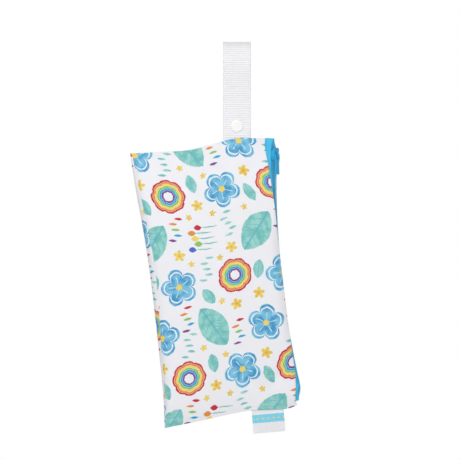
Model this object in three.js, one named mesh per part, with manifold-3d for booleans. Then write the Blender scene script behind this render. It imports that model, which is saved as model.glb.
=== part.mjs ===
// A wet bag clutch: a soft zipped pouch that hangs from a ribbon loop with a snap.
// Millimetres, +Z up, the printed front faces -Y.
// The origin is the inside top of the ribbon loop, the point that the bag hangs from.

import * as THREE from "three";
import { mergeVertices } from "three/addons/utils/BufferGeometryUtils.js";
import Module from "manifold-3d";

const wasm = await Module();
wasm.setup();

// Clearance between neighbouring pieces, steps of a small curve, distance at which points are one
const GAP = 0.3;
const CURVE_STEPS = 5;
const SAME_POINT = 1e-4;

// The pouch. Across is measured from its top left corner to the right, down from there to the bottom.
const WALL = 1.2;
const LEAN = THREE.MathUtils.degToRad(7);
const TOP_SEAM = 4;
const BOTTOM_SEAM = 3.5;
const POUCH_LENGTH = 227;
const MOUTH_REACH = 6;
const CROWN_POWER = 2.4;
const PANEL_STEPS = 18;
const PANEL_CROWDING = 1.7;
const LENGTH_STEPS = 32;
const LENGTH_CROWDING = 0.55;

// The ribbon loop, plumb above the point where the top seam holds it
const RIBBON_WIDTH = 22;
const RIBBON_THICKNESS = 1.1;
const LOOP_RADIUS = 10;
const SEAM_DROP = 79.3;
const RIBBON_TAIL = 8;
const SEAM_REACH = 1.5;
const RIBBON_ACROSS = 90;
const RIBBON_END = 77;
const LAYER_DEPTH = 1.9;
const FLAT_BELOW_SNAP = 4.8;
const FLAT_ABOVE_SNAP = 4.8;

// The snap
const SNAP_DROP = 69;
const CAP_RADIUS = 5.35;
const CAP_HEIGHT = 1.4;
const CAP_RIM = 0.5;
const POST_RADIUS = 1.3;
const DISC_RADIUS = 4.6;
const SNAP_CLEARANCE = 0.12;
const ROUND_STEPS = 28;

// The zip
const TAPE = 1;
const COIL_WIDTH = 2.9;
const COIL_HEIGHT = 2;
const COIL_SLIT = 0.15;
const COIL_TOP = 11.4;
const COIL_BOTTOM = 220;
const TAPE_BOTTOM = 223.5;
const LEAST_TAPE_DEPTH = 1.2;
const UNDER_GAP = 0.45;
const WRAP_SHARE = 0.2;
const WRAP_DEPTH = 3;
const WRAP_END = 0.955;
const WRAP_RAMP = 22;

// The slider, with its own outward, depth and up directions
const SLIDER_DOWN = 14.4;
const SLIDER_LENGTH = 12;
const SLIDER_WIDTH = 7.8;
const INNER_PLATE_WIDTH = 4.6;
const PLATE = 0.75;
const CHANNEL = 2.3;
const FLANGE = 0.65;
const FLANGE_LIFT = 0.35;
const POST_WIDTH = 1;
const POST_LENGTH = 2.5;
const BRIDGE_WIDTH = 2.2;
const BRIDGE_LENGTH = 5.6;
const BRIDGE_LEG = 1.1;
const BRIDGE_OPENING = 1.8;
const BRIDGE_TOP = 0.75;

// The pull
const PULL_LENGTH = 16.4;
const PULL_HEAD_WIDTH = 5.8;
const PULL_WAIST_WIDTH = 4.4;
const PULL_END_WIDTH = 5.4;
const PULL_THICKNESS = 1.2;
const PULL_BAR = 0.9;
const EYE_WIDTH = 3;
const EYE_LENGTH = 3.8;

// The label
const LABEL_WIDTH = 26.4;
const LABEL_DROP = 18.8;
const LABEL_TAIL = 6;
const LABEL_THICKNESS = 1.4;
const LABEL_ACROSS = 87.7;
const LABEL_TURN = THREE.MathUtils.degToRad(2);

// Sections down the pouch. at: share of the length. left: the folded side. panel: the cloth's free
// edge at the zip. gap: half the distance between the two free edges. bulge: half the thickness at
// mid width. nose: the width over which the fold reaches full thickness.
const POUCH_ROWS = [
  { at: 0, left: 0, panel: 113.2, gap: 1.7, bulge: 1.7, nose: 4 },
  { at: 0.04, left: 0.3, panel: 112.3, gap: 3.6, bulge: 3.4, nose: 6 },
  { at: 0.1, left: 0.8, panel: 113.1, gap: 5.4, bulge: 5.6, nose: 8 },
  { at: 0.15, left: 1.3, panel: 113.5, gap: 7, bulge: 7, nose: 9 },
  { at: 0.23, left: 2.4, panel: 114.2, gap: 8, bulge: 8.4, nose: 10 },
  { at: 0.32, left: 3.5, panel: 114.2, gap: 8.3, bulge: 9.2, nose: 11 },
  { at: 0.44, left: 4.3, panel: 113.9, gap: 8.3, bulge: 9.6, nose: 11 },
  { at: 0.67, left: 4, panel: 113.7, gap: 8.3, bulge: 9.4, nose: 11 },
  { at: 0.82, left: 3.4, panel: 114.3, gap: 8.2, bulge: 8.6, nose: 10 },
  { at: 0.88, left: 2.9, panel: 114.2, gap: 7.9, bulge: 7.4, nose: 9 },
  { at: 0.935, left: 2.2, panel: 113.2, gap: 6.6, bulge: 5.4, nose: 8 },
  { at: 0.975, left: 1.2, panel: 111.9, gap: 3.6, bulge: 3, nose: 6 },
  { at: 1, left: 0.6, panel: 112.8, gap: 1.7, bulge: 1.7, nose: 4 },
];

// The sewn top and bottom edges, from the fold to the zip
const EDGE_ROWS = [
  { across: 0, top: 0, bottom: 231 },
  { across: 25, top: 1.8, bottom: 229 },
  { across: 50, top: 3.2, bottom: 226.6 },
  { across: 72, top: 0.4, bottom: 225 },
  { across: 90, top: -1.5, bottom: 226.2 },
  { across: 105, top: 0.2, bottom: 227.2 },
  { across: 116, top: 1.4, bottom: 224.4 },
  { across: 124, top: 2.9, bottom: 222.5 },
];

// The zip down the pouch. chain: the outer face of the tape at the closed middle. forward: how far that
// lies in front of mid depth. turn: degrees by which it faces the front. bend, behind: the width of the
// front and the back tape up to their turns towards the panels. slit: half the slit between the tapes.
// margin: the tape's width under the panel.
const ZIP_ROWS = [
  { at: 0, chain: 121, forward: 0, turn: 0, bend: 1.3, behind: 1.3, slit: 0.15, margin: 0.3 },
  { at: 0.02, chain: 119.62, forward: 0.8, turn: 38, bend: 3, behind: 2.6, slit: 0.95, margin: 0.3 },
  { at: 0.035, chain: 119.2, forward: 0.8, turn: 38, bend: 3.4, behind: 4.4, slit: 0.95, margin: 0.3 },
  { at: 0.06, chain: 118.5, forward: 0.8, turn: 38, bend: 3.4, behind: 4.4, slit: 0.95, margin: 1 },
  { at: 0.09, chain: 117.66, forward: 0.8, turn: 38, bend: 3.4, behind: 4.4, slit: 0.8, margin: 3 },
  { at: 0.105, chain: 117.24, forward: 0.8, turn: 38, bend: 3.4, behind: 4.4, slit: 0.8, margin: 3.6 },
  { at: 0.145, chain: 116.7, forward: 0.5, turn: 24, bend: 3.9, behind: 4.5, slit: 0.8, margin: 5 },
  { at: 0.23, chain: 114.8, forward: 0.1, turn: 8, bend: 4.4, behind: 4.5, slit: 0.8, margin: 5.6 },
  { at: 0.32, chain: 113.2, forward: 0, turn: 0, bend: 4.5, behind: 4.5, slit: 0.8, margin: 5.6 },
  { at: 0.44, chain: 111.8, forward: 0, turn: 0, bend: 4.5, behind: 4.5, slit: 0.8, margin: 5.6 },
  { at: 0.67, chain: 111.3, forward: 0, turn: 0, bend: 4.5, behind: 4.5, slit: 0.8, margin: 5.6 },
  { at: 0.82, chain: 113.3, forward: 0, turn: 0, bend: 4.5, behind: 4.5, slit: 0.8, margin: 5.6 },
  { at: 0.88, chain: 114.3, forward: 0, turn: 0, bend: 4.3, behind: 4.3, slit: 0.8, margin: 5.6 },
  { at: 0.935, chain: 115.4, forward: 0, turn: 0, bend: 3.7, behind: 3.7, slit: 0.8, margin: 4 },
  { at: 0.955, chain: 114.8, forward: 0, turn: 0, bend: 3, behind: 3, slit: 0.5, margin: 1.6 },
  { at: 0.975, chain: 114.1, forward: 0, turn: 0, bend: 1.8, behind: 1.8, slit: 0.3, margin: 0.3 },
  { at: 1, chain: 114.8, forward: 0, turn: 0, bend: 1.2, behind: 1.2, slit: 0.15, margin: 0.3 },
];

// Soft folds in the cloth. turn: degrees from upright. face: -1 front, 1 back.
const FOLD_ROWS = [
  { across: 76, down: 207, turn: 40, length: 15, width: 6, depth: 1.1, face: -1 },
  { across: 95, down: 205, turn: -24, length: 14, width: 5, depth: 0.9, face: -1 },
  { across: 70, down: 22, turn: 38, length: 16, width: 7, depth: 0.9, face: -1 },
  { across: 99, down: 24, turn: -20, length: 14, width: 6, depth: 0.7, face: -1 },
  { across: 30, down: 206, turn: -30, length: 18, width: 8, depth: 0.9, face: 1 },
  { across: 84, down: 204, turn: 28, length: 18, width: 7, depth: 1, face: 1 },
  { across: 66, down: 26, turn: 34, length: 18, width: 8, depth: 0.9, face: 1 },
];

const WHITE_CLOTH = { color: 0xf2f3f6, roughness: 0.75, metalness: 0 };
const WHITE_RIBBON = { color: 0xf1eff4, roughness: 0.8, metalness: 0 };
const WHITE_PLASTIC = { color: 0xf6f3ec, roughness: 0.3, metalness: 0 };
const WHITE_SATIN = { color: 0xeef3f7, roughness: 0.5, metalness: 0 };
const BLUE_TAPE = { color: 0x2f9fd8, roughness: 0.85, metalness: 0 };
const BLUE_COIL = { color: 0x2b94cf, roughness: 0.5, metalness: 0 };
const BLUE_PAINT = { color: 0x2c9ad6, roughness: 0.4, metalness: 0 };

const pouch = columns(POUCH_ROWS, "at");
const edge = columns(EDGE_ROWS, "across");
const zip = columns(ZIP_ROWS, "at");

// A smooth curve through one column of a table, read by its key column
function column(rows, key, name) {
  const at = rows.map((row) => row[key]);
  const value = rows.map((row) => row[name]);
  const last = rows.length - 1;
  const slope = value.map((_, i) => {
    const before = Math.max(i - 1, 0);
    const after = Math.min(i + 1, last);
    return (value[after] - value[before]) / (at[after] - at[before]);
  });
  return (t) => {
    let i = 0;
    while (i < last - 1 && t > at[i + 1]) i++;
    const span = at[i + 1] - at[i];
    const s = THREE.MathUtils.clamp((t - at[i]) / span, 0, 1);
    const rise = s * s * (3 - 2 * s);
    const leave = s * (1 - s) * (1 - s) * span * slope[i];
    const arrive = s * s * (s - 1) * span * slope[i + 1];
    return value[i] + (value[i + 1] - value[i]) * rise + leave + arrive;
  };
}

function columns(rows, key) {
  const names = Object.keys(rows[0]).filter((name) => name !== key);
  return Object.fromEntries(names.map((name) => [name, column(rows, key, name)]));
}

// A point of the pouch in its own frame, whose origin is where the ribbon leaves the top seam
function place(across, depth, at) {
  const down = THREE.MathUtils.lerp(edge.top(across), edge.bottom(across), at);
  return new THREE.Vector3(across - RIBBON_ACROSS, depth, edge.top(RIBBON_ACROSS) - down);
}

// Half the pouch's thickness, measured to its outside or to a layer inset from it
function halfThickness(at, across, inset = 0) {
  const left = pouch.left(at);
  const share = (across - left) / (pouch.panel(at) - left);
  const crown = 1 - Math.abs(2 * share - 1) ** CROWN_POWER;
  const full = THREE.MathUtils.lerp(pouch.gap(at), pouch.bulge(at), crown) - inset;
  const short = 1 - Math.min((across - left - inset) / (pouch.nose(at) - inset), 1);
  return full * Math.sqrt(1 - short * short);
}

function foldDepth(across, down, face) {
  let depth = 0;
  for (const fold of FOLD_ROWS.filter((row) => row.face === face)) {
    const turn = THREE.MathUtils.degToRad(fold.turn);
    const right = across - fold.across;
    const below = down - fold.down;
    const along = (right * Math.sin(turn) + below * Math.cos(turn)) / fold.length;
    const beside = (right * Math.cos(turn) - below * Math.sin(turn)) / fold.width;
    depth += fold.depth * Math.exp(-along * along - beside * beside);
  }
  return depth;
}

// One panel's section, from the fold to its free edge
function panelLine(at, face, inset) {
  const left = pouch.left(at) + inset;
  const line = [];
  for (let i = 1; i <= PANEL_STEPS; i++) {
    const share = (i / PANEL_STEPS) ** PANEL_CROWDING;
    const across = THREE.MathUtils.lerp(left, pouch.panel(at), share);
    const half = halfThickness(at, across, inset) - foldDepth(across, at * POUCH_LENGTH, face);
    line.push(place(across, face * half, at));
  }
  return line;
}

function pouchRing(at, inset, reach) {
  const nose = place(pouch.left(at) + inset, 0, at);
  const mouth = pouch.panel(at) + reach;
  const depth = pouch.gap(at) - inset;
  const lips = reach ? [place(mouth, -depth, at), place(mouth, depth, at)] : [];
  return [nose, ...panelLine(at, -1, inset), ...lips, ...panelLine(at, 1, inset).reverse()];
}

// Shares of the length from one end to the other, closer together near the ends
function lengthShares(first, last, steps = LENGTH_STEPS) {
  return Array.from({ length: steps + 1 }, (_, i) => {
    const even = i / steps;
    const eased = 0.5 - 0.5 * Math.cos(Math.PI * even);
    return THREE.MathUtils.lerp(first, last, THREE.MathUtils.lerp(even, eased, LENGTH_CROWDING));
  });
}

// A closed skin over rings that follow each other downwards
function loft(rings) {
  const count = rings[0].length;
  const outline = rings[0].map((point) => new THREE.Vector2(point.x, point.y));
  if (THREE.ShapeUtils.isClockWise(outline)) return loft(rings.map((ring) => [...ring].reverse()));
  const faces = [];
  for (let i = 0; i < (rings.length - 1) * count; i++) {
    const next = (i + 1) % count === 0 ? i + 1 - count : i + 1;
    faces.push(i, i + count, next, next, i + count, next + count);
  }
  const under = rings.at(-1).map((point) => new THREE.Vector2(point.x, point.y));
  const base = (rings.length - 1) * count;
  for (const [a, b, c] of THREE.ShapeUtils.triangulateShape(outline, [])) faces.push(a, b, c);
  for (const [a, b, c] of THREE.ShapeUtils.triangulateShape(under, [])) {
    faces.push(base + a, base + c, base + b);
  }
  return new THREE.BufferGeometry().setFromPoints(rings.flat()).setIndex(faces);
}

function toSolid(geometry) {
  const bare = geometry.clone();
  bare.deleteAttribute("normal");
  bare.deleteAttribute("uv");
  const merged = mergeVertices(bare, SAME_POINT);
  const vertProperties = merged.attributes.position.array;
  return new wasm.Manifold(new wasm.Mesh({ numProp: 3, vertProperties, triVerts: merged.index.array }));
}

function toGeometry(solid) {
  const mesh = solid.getMesh();
  const position = new THREE.BufferAttribute(mesh.vertProperties, mesh.numProp);
  const index = new THREE.BufferAttribute(mesh.triVerts, 1);
  const geometry = new THREE.BufferGeometry().setAttribute("position", position).setIndex(index);
  geometry.computeVertexNormals();
  return geometry;
}

function join(...geometries) {
  return toGeometry(geometries.map(toSolid).reduce((whole, piece) => whole.add(piece)));
}

function cut(geometry, ...cutters) {
  const whole = toSolid(geometry);
  return toGeometry(cutters.map(toSolid).reduce((rest, cutter) => rest.subtract(cutter), whole));
}

function extrude(shape, depth) {
  return new THREE.ExtrudeGeometry(shape, { depth, bevelEnabled: false, curveSegments: CURVE_STEPS });
}

// A flat shape drawn in depth and height, as a slab between two places across
function slabAcross(shape, from, to) {
  const slab = extrude(shape, to - from);
  const turn = new THREE.Matrix4().makeBasis(
    new THREE.Vector3(0, 1, 0),
    new THREE.Vector3(0, 0, 1),
    new THREE.Vector3(1, 0, 0),
  );
  return slab.applyMatrix4(turn).translate(from, 0, 0);
}

// A flat shape drawn across and in height, as a slab centred in depth
function slabInDepth(shape, depth) {
  const slab = extrude(shape, depth);
  return slab.rotateX(Math.PI / 2).translate(0, depth / 2, 0);
}

function boxBetween(low, high) {
  const [wide, deep, tall] = high.map((value, i) => value - low[i]);
  const middle = high.map((value, i) => (value + low[i]) / 2);
  return new THREE.BoxGeometry(wide, deep, tall).translate(...middle);
}

function roundedRectangle(low, high, radius) {
  const shape = new THREE.Shape();
  shape.moveTo(low[0] + radius, low[1]);
  shape.lineTo(high[0] - radius, low[1]);
  shape.absarc(high[0] - radius, low[1] + radius, radius, -Math.PI / 2, 0);
  shape.lineTo(high[0], high[1] - radius);
  shape.absarc(high[0] - radius, high[1] - radius, radius, 0, Math.PI / 2);
  shape.lineTo(low[0] + radius, high[1]);
  shape.absarc(low[0] + radius, high[1] - radius, radius, Math.PI / 2, Math.PI);
  shape.lineTo(low[0], low[1] + radius);
  shape.absarc(low[0] + radius, low[1] + radius, radius, Math.PI, Math.PI * 1.5);
  return shape;
}

// A line moved sideways to its left by a distance, with mitred corners
function offsetLine(points, distance) {
  const sides = points.slice(1).map((point, i) => {
    const step = point.clone().sub(points[i]).normalize();
    return new THREE.Vector2(-step.y, step.x);
  });
  return points.map((point, i) => {
    const before = sides[Math.max(i - 1, 0)];
    const after = sides[Math.min(i, sides.length - 1)];
    const middle = before.clone().add(after).normalize();
    return point.clone().addScaledVector(middle, distance / middle.dot(after));
  });
}

// The strip of a given thickness along a line, as a closed outline
function stripOutline(points, left, right) {
  return [...offsetLine(points, left), ...offsetLine(points, right).reverse()];
}

// The pouch's own cloth, hollow, with the slots in which the ribbon and the label are sewn
function bagBody() {
  const outside = loft(lengthShares(0, 1).map((at) => pouchRing(at, 0, 0)));
  const top = TOP_SEAM / POUCH_LENGTH;
  const bottom = 1 - BOTTOM_SEAM / POUCH_LENGTH;
  const inside = loft(lengthShares(top, bottom).map((at) => pouchRing(at, WALL, MOUTH_REACH)));
  const halfWidth = RIBBON_WIDTH / 2 + GAP;
  const halfDepth = RIBBON_THICKNESS / 2 + GAP;
  const ribbonSlot = boxBetween(
    [-halfWidth, -halfDepth, -RIBBON_TAIL - GAP],
    [halfWidth, halfDepth, RIBBON_TAIL],
  );
  const labelSlot = boxBetween(
    [-LABEL_WIDTH / 2 - GAP, -LABEL_THICKNESS / 2 - GAP, -LABEL_TAIL],
    [LABEL_WIDTH / 2 + GAP, LABEL_THICKNESS / 2 + GAP, LABEL_TAIL + GAP],
  );
  const seat = place(LABEL_ACROSS, 0, 1);
  labelSlot.rotateY(LABEL_TURN).translate(seat.x, seat.y, seat.z);
  return cut(outside, inside, ribbonSlot.rotateY(LEAN), labelSlot);
}

// A point of the zip's section, out from the chain and to one side of it. Its depth is measured from
// mid depth towards that side's panel.
function zipPoint(at, face, out, side) {
  const turn = THREE.MathUtils.degToRad(zip.turn(at));
  const across = zip.chain(at) + out * Math.cos(turn) + face * side * Math.sin(turn);
  const depth = side * Math.cos(turn) - face * (zip.forward(at) + out * Math.sin(turn));
  return new THREE.Vector2(across, depth);
}

// Half of the zip's tape: from the chain, round the bend and under the panel's edge. Its wrap lies
// between the bend and that edge, nearer the edge towards the bottom.
function tapeRing(at, face) {
  const panel = pouch.panel(at);
  const bend = zipPoint(at, face, 0, face < 0 ? zip.bend(at) : zip.behind(at));
  const lip = Math.min(zip.chain(at), panel + 2 * GAP, bend.x);
  const inner = lip - zip.margin(at);
  const lipDepth = Math.max(pouch.gap(at) - WALL - UNDER_GAP, LEAST_TAPE_DEPTH);
  const innerDepth = inner < panel ? halfThickness(at, inner, WALL) - UNDER_GAP : lipDepth;
  const under = new THREE.Vector2(lip, lipDepth);
  const share = WRAP_SHARE + WRAP_RAMP * Math.max(at - WRAP_END, 0);
  const wrap = bend.clone().lerp(under, share);
  if (face > 0) wrap.y += WRAP_DEPTH * Math.sin(THREE.MathUtils.degToRad(zip.turn(at)));
  const chain = zipPoint(at, face, 0, zip.slit(at));
  const line = [chain, bend, wrap, under, new THREE.Vector2(inner, innerDepth)];
  return stripOutline(line, 0, TAPE).map((point) => place(point.x, face * point.y, at));
}

function zipTape(face) {
  const shares = lengthShares(0, TAPE_BOTTOM / POUCH_LENGTH);
  return loft(shares.map((at) => tapeRing(at, face)));
}

// Half of the closed coil, as the plain bar that its turns fill
function coilRing(at, face) {
  const base = GAP;
  const shoulder = COIL_HEIGHT / 2;
  const outline = [
    [base, COIL_SLIT],
    [COIL_HEIGHT, COIL_SLIT],
    [COIL_HEIGHT, COIL_WIDTH - shoulder],
    [COIL_HEIGHT - shoulder / 3, COIL_WIDTH - shoulder / 3],
    [COIL_HEIGHT - shoulder, COIL_WIDTH],
    [base, COIL_WIDTH],
  ];
  return outline.map(([out, side]) => {
    const point = zipPoint(at, face, out, side);
    return place(point.x, face * point.y, at);
  });
}

function zipCoil(face) {
  const shares = lengthShares(COIL_TOP / POUCH_LENGTH, COIL_BOTTOM / POUCH_LENGTH);
  return loft(shares.map((at) => coilRing(at, face)));
}

// The slider: two plates joined by a post, flanges over the coil, and a bridge for the pull
function zipSlider() {
  const half = SLIDER_LENGTH / 2;
  const plateTop = CHANNEL + PLATE;
  const innerTop = -TAPE - GAP;
  const wide = SLIDER_WIDTH / 2;
  const narrow = INNER_PLATE_WIDTH / 2;
  const outerPlate = roundedRectangle([-wide, -half], [wide, half], wide / 2);
  const innerPlate = roundedRectangle([-narrow, -half], [narrow, half], narrow / 2);
  const postTop = half - GAP;
  const post = boxBetween(
    [innerTop - PLATE / 2, -POST_WIDTH / 2, postTop - POST_LENGTH],
    [CHANNEL + PLATE / 2, POST_WIDTH / 2, postTop],
  );
  const flanges = [-1, 1].map((face) => {
    const sides = [face * wide, face * (wide - FLANGE)].sort((a, b) => a - b);
    const reach = half - wide / 2;
    return boxBetween([FLANGE_LIFT, sides[0], -reach], [CHANNEL + PLATE / 2, sides[1], reach]);
  });
  const bridgeTop = plateTop + BRIDGE_OPENING + BRIDGE_TOP;
  const bridge = roundedRectangle(
    [CHANNEL + PLATE / 2, -BRIDGE_LENGTH / 2],
    [bridgeTop, BRIDGE_LENGTH / 2],
    BRIDGE_TOP,
  );
  const opening = BRIDGE_LENGTH / 2 - BRIDGE_LEG;
  const under = boxBetween(
    [plateTop, -BRIDGE_WIDTH, -opening],
    [plateTop + BRIDGE_OPENING, BRIDGE_WIDTH, opening],
  );
  return join(
    slabAcross(outerPlate, CHANNEL, plateTop),
    slabAcross(innerPlate, innerTop - PLATE, innerTop),
    post,
    ...flanges,
    cut(slabInDepth(bridge, BRIDGE_WIDTH), under),
  );
}

// The pull hangs from its bar, which lies along the origin's depth axis
function zipPull() {
  const bar = PULL_BAR / 2;
  const head = PULL_HEAD_WIDTH / 2;
  const waist = PULL_WAIST_WIDTH / 2;
  const end = PULL_END_WIDTH / 2;
  const neck = -EYE_LENGTH - PULL_BAR;
  const shape = new THREE.Shape();
  shape.moveTo(head - bar, bar);
  shape.quadraticCurveTo(head, bar, head, -bar);
  shape.lineTo(head, -EYE_LENGTH);
  shape.quadraticCurveTo(waist, neck, waist, 2 * neck);
  shape.lineTo(end, -PULL_LENGTH + bar);
  shape.quadraticCurveTo(end, -PULL_LENGTH, end - bar, -PULL_LENGTH);
  shape.lineTo(bar - end, -PULL_LENGTH);
  shape.quadraticCurveTo(-end, -PULL_LENGTH, -end, -PULL_LENGTH + bar);
  shape.lineTo(-waist, 2 * neck);
  shape.quadraticCurveTo(-waist, neck, -head, -EYE_LENGTH);
  shape.lineTo(-head, -bar);
  shape.quadraticCurveTo(-head, bar, bar - head, bar);
  shape.holes.push(roundedRectangle([-EYE_WIDTH / 2, -EYE_LENGTH], [EYE_WIDTH / 2, -bar], bar));
  return slabAcross(shape, -PULL_THICKNESS / 2, PULL_THICKNESS / 2);
}

// The ribbon: up from the seam in front, over the loop and down behind to its free end
function hangRibbon() {
  const radius = LOOP_RADIUS + RIBBON_THICKNESS / 2;
  const flatTop = FLAT_ABOVE_SNAP - SNAP_DROP;
  const flatBottom = -FLAT_BELOW_SNAP - SNAP_DROP;
  const bow = (flatTop + LOOP_RADIUS) / 2;
  const path = new THREE.Path();
  path.moveTo(0, -SEAM_DROP - RIBBON_TAIL);
  path.lineTo(0, SEAM_REACH - SEAM_DROP);
  const bend = (flatBottom + SEAM_REACH - SEAM_DROP) / 2;
  path.bezierCurveTo(0, bend, -LAYER_DEPTH, bend, -LAYER_DEPTH, flatBottom);
  path.lineTo(-LAYER_DEPTH, flatTop);
  path.bezierCurveTo(-LAYER_DEPTH, bow - LOOP_RADIUS, -radius, bow, -radius, -LOOP_RADIUS);
  path.absarc(0, -LOOP_RADIUS, radius, Math.PI, 0, true);
  path.bezierCurveTo(radius, bow, LAYER_DEPTH, bow - LOOP_RADIUS, LAYER_DEPTH, flatTop);
  path.lineTo(LAYER_DEPTH, -RIBBON_END);
  const half = RIBBON_THICKNESS / 2;
  const outline = new THREE.Shape(stripOutline(path.getPoints(), -half, half));
  const ribbon = slabAcross(outline, -RIBBON_WIDTH / 2, RIBBON_WIDTH / 2);
  const hole = new THREE.CylinderGeometry(POST_RADIUS + GAP, POST_RADIUS + GAP, RIBBON_WIDTH, ROUND_STEPS);
  return cut(ribbon, hole.translate(0, 0, -SNAP_DROP));
}

// Half of the snap: a domed cap outside the ribbon, a post through it and a disc inside
function snapHalf() {
  const innerFace = LAYER_DEPTH - RIBBON_THICKNESS / 2 - SNAP_CLEARANCE;
  const outerFace = LAYER_DEPTH + RIBBON_THICKNESS / 2 + SNAP_CLEARANCE;
  const profile = new THREE.Path();
  profile.moveTo(0, GAP / 2);
  profile.lineTo(DISC_RADIUS, GAP / 2);
  profile.lineTo(DISC_RADIUS, innerFace);
  profile.lineTo(POST_RADIUS, innerFace);
  profile.lineTo(POST_RADIUS, outerFace);
  profile.lineTo(CAP_RADIUS, outerFace);
  profile.lineTo(CAP_RADIUS, outerFace + CAP_RIM);
  profile.quadraticCurveTo(CAP_RADIUS / 2, outerFace + CAP_HEIGHT, 0, outerFace + CAP_HEIGHT);
  return new THREE.LatheGeometry(profile.getPoints(CURVE_STEPS), ROUND_STEPS);
}

// The label: two layers of satin pressed flat, round at the fold
function foldedLabel() {
  const half = LABEL_THICKNESS / 2;
  const shape = new THREE.Shape();
  shape.moveTo(half, LABEL_TAIL);
  shape.lineTo(-half, LABEL_TAIL);
  shape.lineTo(-half, half - LABEL_DROP);
  shape.absarc(0, half - LABEL_DROP, half, Math.PI, 2 * Math.PI);
  return slabAcross(shape, -LABEL_WIDTH / 2, LABEL_WIDTH / 2);
}

function piece(name, geometry, look) {
  const mesh = new THREE.Mesh(geometry, new THREE.MeshStandardMaterial(look));
  mesh.name = name;
  return mesh;
}

// The slider and its pull, seated on the chain, turned along it and with it
function sliderGroup() {
  const at = SLIDER_DOWN / POUCH_LENGTH;
  const reach = SLIDER_LENGTH / 2 / POUCH_LENGTH;
  const upper = place(zip.chain(at - reach), 0, at - reach);
  const lower = place(zip.chain(at + reach), 0, at + reach);
  const group = new THREE.Group();
  group.position.copy(place(zip.chain(at), -zip.forward(at), at));
  group.rotation.y = Math.atan2(upper.x - lower.x, upper.z - lower.z);
  group.rotation.z = -THREE.MathUtils.degToRad(zip.turn(at));
  const pull = piece("zip_pull", zipPull(), BLUE_PAINT);
  pull.position.x = CHANNEL + PLATE + BRIDGE_OPENING / 2;
  group.add(piece("zip_slider", zipSlider(), BLUE_PAINT), pull);
  return group;
}

function pouchGroup() {
  const group = new THREE.Group();
  group.position.z = -SEAM_DROP;
  group.rotation.y = -LEAN;
  const label = piece("label", foldedLabel(), WHITE_SATIN);
  label.position.copy(place(LABEL_ACROSS, 0, 1));
  label.rotation.y = LABEL_TURN;
  group.add(
    piece("bag_body", bagBody(), WHITE_CLOTH),
    piece("zip_tape_front", zipTape(-1), BLUE_TAPE),
    piece("zip_tape_back", zipTape(1), BLUE_TAPE),
    piece("zip_coil_front", zipCoil(-1), BLUE_COIL),
    piece("zip_coil_back", zipCoil(1), BLUE_COIL),
    sliderGroup(),
    label,
  );
  return group;
}

function ribbonGroup() {
  const group = new THREE.Group();
  const front = piece("snap_front", snapHalf(), WHITE_PLASTIC);
  front.rotation.x = Math.PI;
  const back = piece("snap_back", snapHalf(), WHITE_PLASTIC);
  for (const half of [front, back]) half.position.z = -SNAP_DROP;
  group.add(piece("hang_ribbon", hangRibbon(), WHITE_RIBBON), front, back);
  return group;
}

const clutch = new THREE.Group();
clutch.add(pouchGroup(), ribbonGroup());

export default clutch;
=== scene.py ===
"""A hanging wet bag clutch: a printed cloth pouch with a zip down one side, a snapped ribbon and a label."""

import math

import bmesh
import bpy
import numpy as np
from mathutils import Color, Matrix, Vector


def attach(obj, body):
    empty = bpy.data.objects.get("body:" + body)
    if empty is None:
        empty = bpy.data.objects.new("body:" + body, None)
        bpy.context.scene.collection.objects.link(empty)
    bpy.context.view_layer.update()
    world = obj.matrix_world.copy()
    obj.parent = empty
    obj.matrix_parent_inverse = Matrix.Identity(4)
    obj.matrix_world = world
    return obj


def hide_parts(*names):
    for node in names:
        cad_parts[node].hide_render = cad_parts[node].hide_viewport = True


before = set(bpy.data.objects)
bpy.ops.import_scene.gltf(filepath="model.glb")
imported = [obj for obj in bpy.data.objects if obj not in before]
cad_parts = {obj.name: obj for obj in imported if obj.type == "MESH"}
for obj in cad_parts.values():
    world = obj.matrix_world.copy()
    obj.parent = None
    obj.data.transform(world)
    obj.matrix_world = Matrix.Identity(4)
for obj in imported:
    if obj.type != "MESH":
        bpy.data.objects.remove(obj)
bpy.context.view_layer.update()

# Driving dimensions in millimetres, most of them the solids' own
MM = 0.001
GAP = 0.3
LEAN = math.radians(7)
POUCH_LENGTH = 227
CROWN_POWER = 2.4
SEAM_DROP = 79.3

RIBBON_WIDTH = 22
RIBBON_THICKNESS = 1.1
RIBBON_TAIL = 7
RIBBON_ACROSS = 90
RIBBON_END = 77
LOOP_RADIUS = 10
LAYER_DEPTH = 1.9
FLAT_ABOVE_SNAP = 4.8
RIB_PITCH = 1.85
RIB_HEIGHT = 0.2
RIB_ROUND = 0.7
RIB_STEPS = 8
RIBBON_COLUMNS = 18
BEND_STEPS = 24
LOOP_STEPS = 48

SNAP_DROP = 69
SNAP_CLEARANCE = 0.12
CAP_RADIUS = 5.35
CAP_EDGE = 0.15
SNAP_CENTRE = 0.02
STUD_RADIUS = 1.3
DISC_RADIUS = 4.6
DISC_EDGE = 0.2
SHOULDER_STEPS = 8
DOME_STEPS = 10
ROUND_STEPS = 64

CLOTH = 0.9
CLOTH_WALL = 1.2
PANEL_COLUMNS = 62
NOSE_COLUMNS = 14
SHEET_ROWS = 190
NOSE_SHARE = 0.13
SEAM_PINCH = 5
SEAM_HALF = 0.95
SEAM_FADE = 5
SEAM_ROOM = 0.1
GROOVE_WIDTH = 0.9
GROOVE_DEPTH = 0.3
PULLED_WIDTH = 11
PULLED_DOWN = 18

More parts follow.
